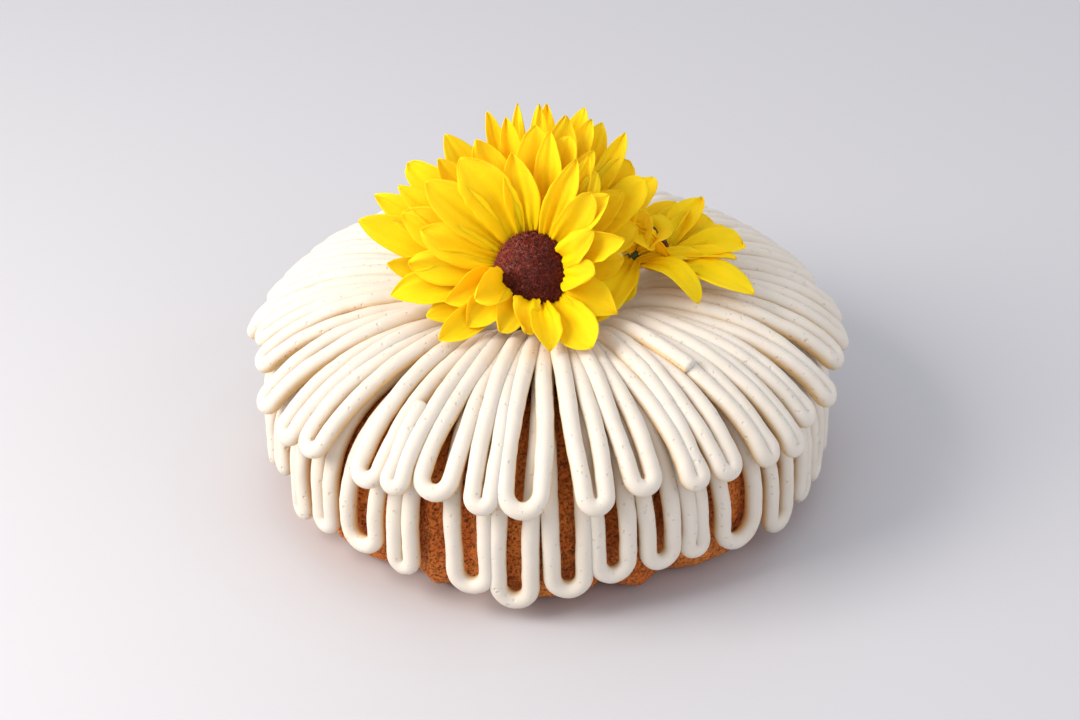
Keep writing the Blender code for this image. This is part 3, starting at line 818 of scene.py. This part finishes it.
# Each petal: angle, length as seen, width, how far its tip stands out and how far it arches, and
# then how one edge rolls up, and whether its tip is blunt.
FRONT_LAYERS = (
    ("main_petals_1", ((163, 87, 18, 4, 2, -0.4, 0), (153.5, 84, 18, 5, 2, 0.3, 0),
                       (138.5, 79, 17, 6, 3, 0.4, 1), (122, 77.5, 20, 6, 2, 0.0, 0),
                       (105.5, 79, 10, 5, 1, 0.5, 0), (94.4, 80, 9, 5, 1, 0.0, 0),
                       (84.5, 80, 11, 4, 1, 0.4, 0), (71.5, 81.5, 13, 3, 1, 0.5, 0),
                       (64, 78, 16, 2, 1, 0.2, 0), (55.3, 79, 10, 5, 2, 0.6, 0),
                       (48, 70, 17, 2, 1, 0.2, 1), (38, 69, 18, 3, 2, -0.3, 1),
                       (22, 54, 17, 2, 1, 0.2, 0), (188, 68, 15, 2, 2, 0.2, 0))),
    ("main_petals_2", ((147, 76, 14, 8, 3, 0.3, 0), (155.5, 68, 21, 9, 3, 0.2, 0),
                       (176.5, 70, 15, 6, 2, 0.5, 0), (202.5, 56, 16, 6, 2, -0.4, 0),
                       (130, 70, 18, 9, 3, 0.2, 0), (113, 68, 18, 10, 2, 0.2, 0),
                       (99, 74, 12, 9, 2, 0.5, 0), (87, 79, 9, 8, 2, 0.3, 0),
                       (77, 75, 17, 9, 2, 0.3, 0), (68, 77, 14, 7, 2, 0.6, 0),
                       (40, 57, 17, 5, 2, 0.2, 0), (6, 44, 16, 6, 2, 0.2, 0))),
    ("main_petals_3", ((140, 66, 20, 15, 4, 0.4, 0), (160, 57, 18, 14, 3, -0.3, 0),
                       (122, 63, 23, 18, 3, 0.3, 0), (99.4, 57, 16, 19, 4, 0.7, 0),
                       (88, 68, 22, 16, 3, 0.2, 0), (82, 65, 14, 19, 3, 0.5, 0),
                       (73.6, 66, 13, 15, 3, 0.5, 1), (62, 63, 12, 14, 4, 0.8, 0),
                       (175.5, 59, 17, 11, 3, 0.3, 0), (189, 69, 17, 8, 3, 0.3, 0),
                       (216, 56, 14, 7, 3, 0.7, 0), (52, 52, 16, 12, 3, 0.3, 0))),
    ("main_petals_4", ((199, 44, 17, 12, 5, 0.5, 0), (221, 42, 15, 13, 5, 0.6, 0),
                       (207, 33, 15, 19, 6, 1.1, 1), (241, 33, 15, 14, 6, 0.9, 1),
                       (262, 29, 13, 16, 7, -1.2, 1), (280, 40, 14, 12, 6, 1.0, 0),
                       (305.5, 47, 19, 9, 4, 0.3, 0), (331.5, 44, 17, 13, 5, 0.5, 0),
                       (354, 31, 15, 18, 6, 0.8, 1), (17, 46, 15, 17, 6, 0.7, 0),
                       (31, 32, 13, 22, 7, -0.9, 0), (43.5, 49, 14, 20, 5, 0.8, 0),
                       (52, 44, 14, 24, 5, 0.3, 1), (56, 55, 13, 17, 5, -0.9, 0),
                       (67.6, 54, 13, 23, 5, 0.4, 0), (62.6, 60, 12, 18, 5, 0.6, 0))),
)
print("front flower:", [len(petals) for _, petals in FRONT_LAYERS], "petals")

# %% [markdown]
# ## Growing its layers
# Each layer is one mesh: a round hub, hidden by the disc, and the petals that grow from it. The
# tips come forward, nearer to the camera, so they are shorter than they seem. Petals side by side
# in a layer are stepped a little, so that no two share a plane.

# %% Front petals
HUB_SHARE, ROOT_SHARE = 0.8, 0.9
HUB_SIDES = 40
NEARER = 0.96
CUP, TWIST, BEND, TIP_LIFT = (0.1, 0.3), 0.45, 2.2, (-2, 4)
PETAL_STEP, PETAL_STEPS = 0.5 * MM, 3


def flower_frame(facing):
    right = Vector((0, 0, 1)).cross(facing).normalized()
    return right, facing.cross(right)


def add_hub(bm, centre, right, up, radius):
    """The middle of a die-cut layer, a round of cloth that all its petals grow from."""
    place = Matrix((right, up, right.cross(up))).transposed().to_4x4()
    place.translation = centre
    bmesh.ops.create_circle(bm, cap_ends=True, segments=HUB_SIDES, radius=radius, matrix=place)


draw = random.Random(SEED)
right, up = flower_frame(FRONT_FACING)
front_petals = {}
for layer, (node, petals) in enumerate(FRONT_LAYERS):
    bm = petal_mesh()
    centre = FRONT_HEAD + FRONT_FACING * LAYER_STEP * layer
    hub = FRONT_DISC_RADIUS * HUB_SHARE
    add_hub(bm, centre, right, up, hub)
    for i, (angle, length, width, stand, arch, roll, blunt) in enumerate(petals):
        ray = right * math.cos(math.radians(angle)) + up * math.sin(math.radians(angle))
        root = centre + ray * hub * ROOT_SHARE
        tip = centre + ray * length * NEARER * MM + FRONT_FACING * stand * MM
        made = add_petal(bm, root, tip, FRONT_FACING, width * MM, arch * MM, draw,
                         cup=draw.uniform(*CUP), twist=draw.uniform(-TWIST, TWIST),
                         bend=draw.uniform(-BEND, BEND) * MM, roll=roll, blunt=blunt,
                         lift=draw.uniform(*TIP_LIFT) * MM)
        for vertex in made:
            vertex.co += FRONT_FACING * PETAL_STEP * (i % PETAL_STEPS)
        clear_icing(bm, made, FRONT_FACING)
    thicken(bm)
    front_petals[node] = bm
    print(node, "has", len(bm.faces), "faces")

# %% [markdown]
# ## The other sunflower
# It stands behind on the right and faces away, so that it shows the backs and edges of its
# petals. They are given by their tips, in the cake's own frame, in millimetres. Short petals stand
# up before its middle and hide it, and some long ones hang over the icing.

# %% Other petal table
SIDE_HEAD = Vector((44, 1, 116)) * MM
SIDE_FACING = Vector((0.55, 0.72, 0.42)).normalized()
SIDE_DISC_RADIUS = 14 * MM

# Each petal: its tip's x, y and z, its width, how far it arches, how its tip turns, how one edge
# rolls up, and whether its tip is blunt. The last ones of a layer stand before its middle, so the
# x, y and z of their root follow.
SIDE_LAYERS = (
    ("side_petals_1", ((64, 42, 115, 16, 5, 2, 0.4, 0), (67, 32, 117, 16, 5, 2, 0.4, 1),
                       (78, 27, 115, 17, 6, 2, 0.3, 1), (86, 22, 113, 15, 5, 1, 0.5, 0),
                       (94, 10, 111, 16, 5, 1, 0.5, 1), (97, -24, 104, 18, 5, 0, 0.3, 0),
                       (82, -20, 106, 9, 4, 0, 0.8, 0), (34, 52, 120, 17, 5, 2, 0.3, 0),
                       (12, 42, 124, 17, 4, 2, 0.3, 0),
                       (71, -33, 103, 15, 8, -4, 0.7, 1, 45, -10, 113),
                       (29, -24, 99, 22, 5, -3, 0.2, 0, 42, -6, 114),
                       (22, -46, 104, 18, 4, -2, 0.1, 0, 43, -5, 112))),
    ("side_petals_2", ((90, -4, 111, 10, 4, 1, 0.9, 0), (53, 40, 130, 16, 4, 2, 0.3, 0),
                       (76, 34, 122, 15, 4, 2, 0.3, 0), (30, 34, 136, 15, 3, 2, 0.3, 0),
                       (74, -6, 114, 9, 3, 1, 0.9, 0, 43, -9, 114),
                       (51, -13, 123, 16, 3, -2, 0.6, 1, 38, -4, 130),
                       (36, -4, 150, 11, 2, 0, 0.7, 1, 38, -5, 122),
                       (36, -12, 133, 14, 4, 2, 0.3, 0, 38, -4, 120),
                       (45, -13, 127, 11, 3, 0, 0.4, 0, 41, -7, 118),
                       (50, -3, 135, 21, 3, 1, 0.2, 1, 42, -3, 118),
                       (60, -5, 129, 21, 3, 0, 0.3, 1, 44, -4, 117))),
)
print("other flower:", [len(petals) for _, petals in SIDE_LAYERS], "petals")

# %% [markdown]
# ## Growing its layers
# A petal starts at the rim of the hub, on the side towards its tip, unless its root is given. All
# of them are cupped upwards and a little to the front.

# %% Other petals
SIDE_HUB_RADIUS, SIDE_ROOT_SHARE = 17 * MM, 0.82
SIDE_CUP, SIDE_TWIST = (-0.1, 0.3), 0.35
FACE_TILT = 0.4

side_right, side_up = flower_frame(SIDE_FACING)
side_petals = {}
face = (Vector((0, 0, 1)) + FRONT_FACING * FACE_TILT).normalized()
for layer, (node, petals) in enumerate(SIDE_LAYERS):
    bm = petal_mesh()
    centre = SIDE_HEAD + SIDE_FACING * LAYER_STEP * layer
    add_hub(bm, centre, side_right, side_up, SIDE_HUB_RADIUS)
    for x, y, z, width, arch, turn, roll, blunt, *root_at in petals:
        tip = Vector((x, y, z)) * MM
        ray = tip - centre
        ray = (ray - SIDE_FACING * ray.dot(SIDE_FACING)).normalized()
        root = centre + ray * SIDE_HUB_RADIUS * SIDE_ROOT_SHARE
        if root_at:
            root = Vector(root_at) * MM
        made = add_petal(bm, root, tip, face, width * MM, arch * MM, draw,
                         cup=draw.uniform(*SIDE_CUP), lift=turn * MM, roll=roll,
                         twist=draw.uniform(-SIDE_TWIST, SIDE_TWIST), blunt=blunt)
        clear_icing(bm, made, Vector((0, 0, 1)))
    thicken(bm)
    side_petals[node] = bm
    print(node, "has", len(bm.faces), "faces")

# %% [markdown]
# ## Yellow woven polyester
# Dyed cloth of fine threads: orange where the dye is thick near the root, lemon at the tips and
# along the edges. Light comes through it, so it scatters a lot for its thickness. The real threads
# are about 0.2 mm apart, which no render of the whole cake shows, so the twill is drawn at 1.1 mm.
# Two wave textures across each other make it, on the UV map turned to the bias of the cloth.

# %% Petal material
# A wave texture repeats every pi / 10 of its scaled coordinate.
THREAD = 1.1 * MM
WAVE_SCALE = math.pi / 10 * UV_SIZE / THREAD
BIAS = 0.9
petal_material, tree, shader = new_material(
    "dyed woven polyester", 0.75, 1.5, Subsurface_Weight=0.45, Subsurface_Scale=2 * MM,
    Specular_IOR_Level=0.12)
shader.inputs["Subsurface Radius"].default_value = (1.0, 0.48, 0.02)
where = add(tree, "ShaderNodeTexCoord").outputs["Object"]
cloth_map = add(tree, "ShaderNodeUVMap", uv_map="UVMap").outputs["UV"]
towards = add(tree, "ShaderNodeAttribute", attribute_name="towards_tip")
edge = add(tree, "ShaderNodeAttribute", attribute_name="towards_edge")
uneven = add(tree, NOISE, {"Vector": where, "Scale": per_metre(18), "Detail": 2.0})
shifted = add(tree, MATHS, {0: uneven.outputs["Fac"], 1: 0.4,
                            2: towards.outputs["Fac"]}, operation="MULTIPLY_ADD")
edged = add(tree, MATHS, {0: edge.outputs["Fac"], 1: 0.16, 2: shifted.outputs[0]},
            operation="MULTIPLY_ADD")
bias = add(tree, "ShaderNodeMapping", {"Vector": cloth_map, "Rotation": (0, 0, BIAS)})
warp, weft = [add(tree, "ShaderNodeTexWave", {"Vector": bias.outputs["Vector"], "Distortion": 0.6,
                                              "Scale": WAVE_SCALE}, bands_direction=direction)
              for direction in "XY"]
weave = add(tree, MATHS, {0: warp.outputs["Fac"], 1: 0.4, 2: weft.outputs["Fac"]},
            operation="MULTIPLY_ADD")
paint = colour("FF9E00")
for code, value, low, high, most in (("FFDC00", edged.outputs[0], 0.2, 0.62, 1.0),
                                     ("FFF040", edged.outputs[0], 0.6, 1.3, 1.0),
                                     ("FFC600", weave.outputs[0], 0.7, 0.0, 0.8)):
    share = add(tree, RANGE, {"Value": value, "From Min": low, "From Max": high, "To Max": most})
    paint = add(tree, BLEND, {BLEND_A: paint, BLEND_B: colour(code),
                              "Factor": share.outputs["Result"]},
                data_type="RGBA").outputs[BLEND_OUT]
tree.links.new(paint, shader.inputs["Base Color"])
bump = add(tree, BUMP, {"Height": weave.outputs[0], "Strength": 0.9, "Distance": 0.5 * MM})
tree.links.new(bump.outputs["Normal"], shader.inputs["Normal"])
for node, bm in list(front_petals.items()) + list(side_petals.items()):
    finish_piece(node.replace("main", "front") + "_cloth", bm, petal_material, "petal", node)

# %% [markdown]
# ## The discs
# The middle of each flower is a foam dome covered with short brown fibres. The dome is a spun
# profile. The fibres are thin cones, all copies of one, doubled until there are enough, and then
# each is stood on the dome at its own place.

# %% Disc meshes
FIBRE_LENGTH, FIBRE_RADIUS = 1.9 * MM, 0.2 * MM
FIBRE_STRETCH, FIBRE_TILT = (0.6, 1.1), 0.6
FRONT_DOUBLINGS, SIDE_DOUBLINGS = 13, 12
RIM_SHARE, RIM_SPLAY = 0.97, 1.3
DOME = ((0.0, 0.50), (0.35, 0.50), (0.62, 0.45), (0.84, 0.36), (0.97, 0.2), (0.9, 0.05),
        (0.6, 0.0), (0.0, 0.0))


def dome_height(share):
    for (r0, h0), (r1, h1) in zip(DOME, DOME[1:5]):
        if share <= r1:
            return h0 + (h1 - h0) * (share - r0) / (r1 - r0)
    return DOME[4][1]


def make_disc(base, facing, radius, doublings, draw):
    """A dome on a base point and its fibres; each fibre is dark at its root, as painted shade, and
    takes a random tone towards its tip.
    """
    right, up = flower_frame(facing)
    bm = bmesh.new()
    tone_and_shade_layer = bm.verts.layers.float.new("fibre_tone_and_root_shade")
    cone = bmesh.ops.create_cone(bm, cap_ends=True, segments=3, radius1=FIBRE_RADIUS, radius2=0,
                                 depth=FIBRE_LENGTH)["verts"]
    size = len(cone)
    for _ in range(doublings):
        bmesh.ops.duplicate(bm, geom=bm.verts[:] + bm.edges[:] + bm.faces[:])
    bm.verts.ensure_lookup_table()
    for start in range(0, len(bm.verts), size):
        share = math.sqrt(draw.random())
        angle = draw.uniform(0, math.tau)
        ray = right * math.cos(angle) + up * math.sin(angle)
        out = share * RIM_SHARE
        spot = base + ray * radius * out + facing * radius * dome_height(out)
        tilt = Vector([draw.uniform(-FIBRE_TILT, FIBRE_TILT) for _ in range(3)])
        way = (facing + ray * share ** 3 * RIM_SPLAY + tilt).normalized()
        turn = way.to_track_quat("Z", "Y").to_matrix()
        stretch = draw.uniform(*FIBRE_STRETCH)
        tint = draw.random()
        for i in range(start, start + size):
            vertex = bm.verts[i]
            tip = vertex.co.z > 0
            vertex.co = spot + turn @ (vertex.co * Vector((1, 1, stretch)))
            # painted shade: the root of each fibre is dark, and the tip takes the fibre's random
            # tone
            vertex[tone_and_shade_layer] = 0.1 + 0.9 * tint ** 2 if tip else 0.2 * tint
    # the dome keeps 0 in this attribute, so it takes the dark root colour, as painted shade
    # between the fibres
    profile = [bm.verts.new(base + right * radius * r * RIM_SHARE + facing * radius * h)
               for r, h in DOME]
    edges = [bm.edges.new(pair) for pair in zip(profile, profile[1:])]
    bmesh.ops.spin(bm, geom=profile + edges, axis=facing, cent=base, angle=math.tau, steps=48,
                   use_merge=True, use_duplicate=False)
    return bm


front_base = FRONT_HEAD + FRONT_FACING * (LAYER_STEP * (len(FRONT_LAYERS) - 1) + CLOTH)
side_base = SIDE_HEAD + SIDE_FACING * (LAYER_STEP * (len(SIDE_LAYERS) - 1) + CLOTH)
front_disc = make_disc(front_base, FRONT_FACING, FRONT_DISC_RADIUS, FRONT_DOUBLINGS, draw)
side_disc = make_disc(side_base, SIDE_FACING, SIDE_DISC_RADIUS, SIDE_DOUBLINGS, draw)
print("fibres:", 2 ** FRONT_DOUBLINGS, "and", 2 ** SIDE_DOUBLINGS)

# %% [markdown]
# ## Brown flock
# Dyed nylon fibres, red-brown, each a little lighter or darker at random, with no gloss of their
# own but a glint here and there. Each fibre is painted dark at its root, and so is the dome
# between
# them: painted shade in the pile.

# %% Flock material
flock_material, tree, shader = new_material("dyed nylon flock", 0.55, 1.5)
tint = add(tree, "ShaderNodeAttribute", attribute_name="fibre_tone_and_root_shade")
# painted shade: 38100A at the fibre roots and on the dome, up to C44A30 at the lightest tips
dark = add(tree, BLEND, {BLEND_A: colour("38100A"), BLEND_B: colour("C44A30"),
                         "Factor": tint.outputs["Fac"]}, data_type="RGBA")
tree.links.new(dark.outputs[BLEND_OUT], shader.inputs["Base Color"])
finish_piece("front_seed_disc", front_disc, flock_material, "flock", "main_disc")
finish_piece("side_seed_disc", side_disc, flock_material, "flock", "side_disc")

# %% [markdown]
# ## The stems
# Each flower has a short green plastic stem that bends down into the hole. The petals hide it in
# the picture, so its form is the plainest one: a tube along the CAD model's line.

# %% Stems
STEM_RADIUS = 2.4 * MM
STEM_NECK, STEM_ELBOW, STEM_FOOT = 7 * MM, 84 * MM, 6 * MM
STEM_GAP, STEM_STEPS, STEM_SIDES = 0.3 * MM, 16, 12
FRONT_FOOT, SIDE_FOOT = (-8 * MM, 12 * MM), (10 * MM, 10 * MM)


def curve_through(points, steps):
    """Points along a smooth curve through the given ones."""
    line = []
    for k in range(len(points) - 1):
        a, b = points[max(k - 1, 0)], points[k]
        c, d = points[k + 1], points[min(k + 2, len(points) - 1)]
        for i in range(steps):
            t = i / steps
            line.append(0.5 * (2 * b + (c - a) * t + (2 * a - 5 * b + 4 * c - d) * t ** 2
                               + (3 * b - a - 3 * c + d) * t ** 3))
    return line + [points[-1]]


def make_stem(head, facing, foot):
    start = head - facing * (CLOTH / 2 + STEM_GAP)
    points = [start, start - facing * STEM_NECK, Vector((*foot, STEM_ELBOW)),
              Vector((*foot, STEM_FOOT))]
    line = curve_through(points, STEM_STEPS)
    side = flower_frame(facing)[0]
    outs = [(b - a).cross(side).normalized() for a, b in zip(line, line[1:])]
    outs.append(outs[-1])
    radii = [0.0] + [STEM_RADIUS] * (len(line) - 2) + [0.0]
    bm = icing_mesh()
    add_rope(bm, line, outs, radii, [1.0] * len(line), sides=STEM_SIDES, uneven=0.0)
    return bm


print("stems are", 2 * STEM_RADIUS / MM, "mm thick")

# %% [markdown]
# ## Green plastic
# Moulded over a wire, with a faint uneven ribbing that catches the light.

# %% Stem material
stem_material, tree, shader = new_material("green plastic stem", 0.45, 1.46)
where = add(tree, "ShaderNodeTexCoord").outputs["Object"]
ribs = add(tree, NOISE, {"Vector": where, "Scale": per_metre(2.5), "Detail": 2.0})
green = add(tree, BLEND, {BLEND_A: colour("3E5A24"), BLEND_B: colour("2B421A"),
                          "Factor": ribs.outputs["Fac"]}, data_type="RGBA")
tree.links.new(green.outputs[BLEND_OUT], shader.inputs["Base Color"])
bump = add(tree, BUMP, {"Height": ribs.outputs["Fac"], "Strength": 0.4, "Distance": 0.3 * MM})
tree.links.new(bump.outputs["Normal"], shader.inputs["Normal"])
finish_piece("front_stem", make_stem(FRONT_HEAD, FRONT_FACING, FRONT_FOOT), stem_material,
             "stem", "main_stem")
finish_piece("side_stem_tube", make_stem(SIDE_HEAD, SIDE_FACING, SIDE_FOOT), stem_material,
             "stem", "side_stem")

# %% [markdown]
# ## Floor and light
# The cake stands on a plain pale floor. A large soft light from the left is the window, a weaker
# and cooler one fills the right side, and the sky gives the rest.

# %% Floor
FLOOR_HALF = 4.0
floor_material, tree, shader = new_material("pale matt table", 0.5, 1.45)
shader.inputs["Base Color"].default_value = colour("C8C7CA")
bm = bmesh.new()
bmesh.ops.create_grid(bm, x_segments=1, y_segments=1, size=FLOOR_HALF)
floor = new_object("floor", bm, floor_material)
print("the floor is", 2 * FLOOR_HALF, "m wide")

# %% Lights
world = bpy.data.worlds.new("studio")
world.use_nodes = True
world.node_tree.nodes["Background"].inputs["Color"].default_value = colour("EEF0F6")
world.node_tree.nodes["Background"].inputs["Strength"].default_value = 0.84
bpy.context.scene.world = world


def soft_light(name, place, target, size, power_watts, tint):
    light = bpy.data.lights.new(name, "AREA")
    light.shape = "RECTANGLE"
    light.size, light.size_y = size
    light.energy = power_watts
    light.color = colour(tint)[:3]
    item = bpy.data.objects.new(name, light)
    bpy.context.scene.collection.objects.link(item)
    aim = (Vector(target) - Vector(place)).to_track_quat("-Z", "Y")
    item.matrix_world = Matrix.LocRotScale(Vector(place), aim, None)


soft_light("window", (-1.0, -0.35, 0.85), (0, 0, 0.08), (0.8, 0.8), 19, "FFF8F0")
soft_light("fill", (1.2, -0.7, 0.9), (0, 0, 0.06), (1.2, 1.2), 3.5, "EAF0FF")
bpy.context.scene.view_settings.view_transform = "Standard"
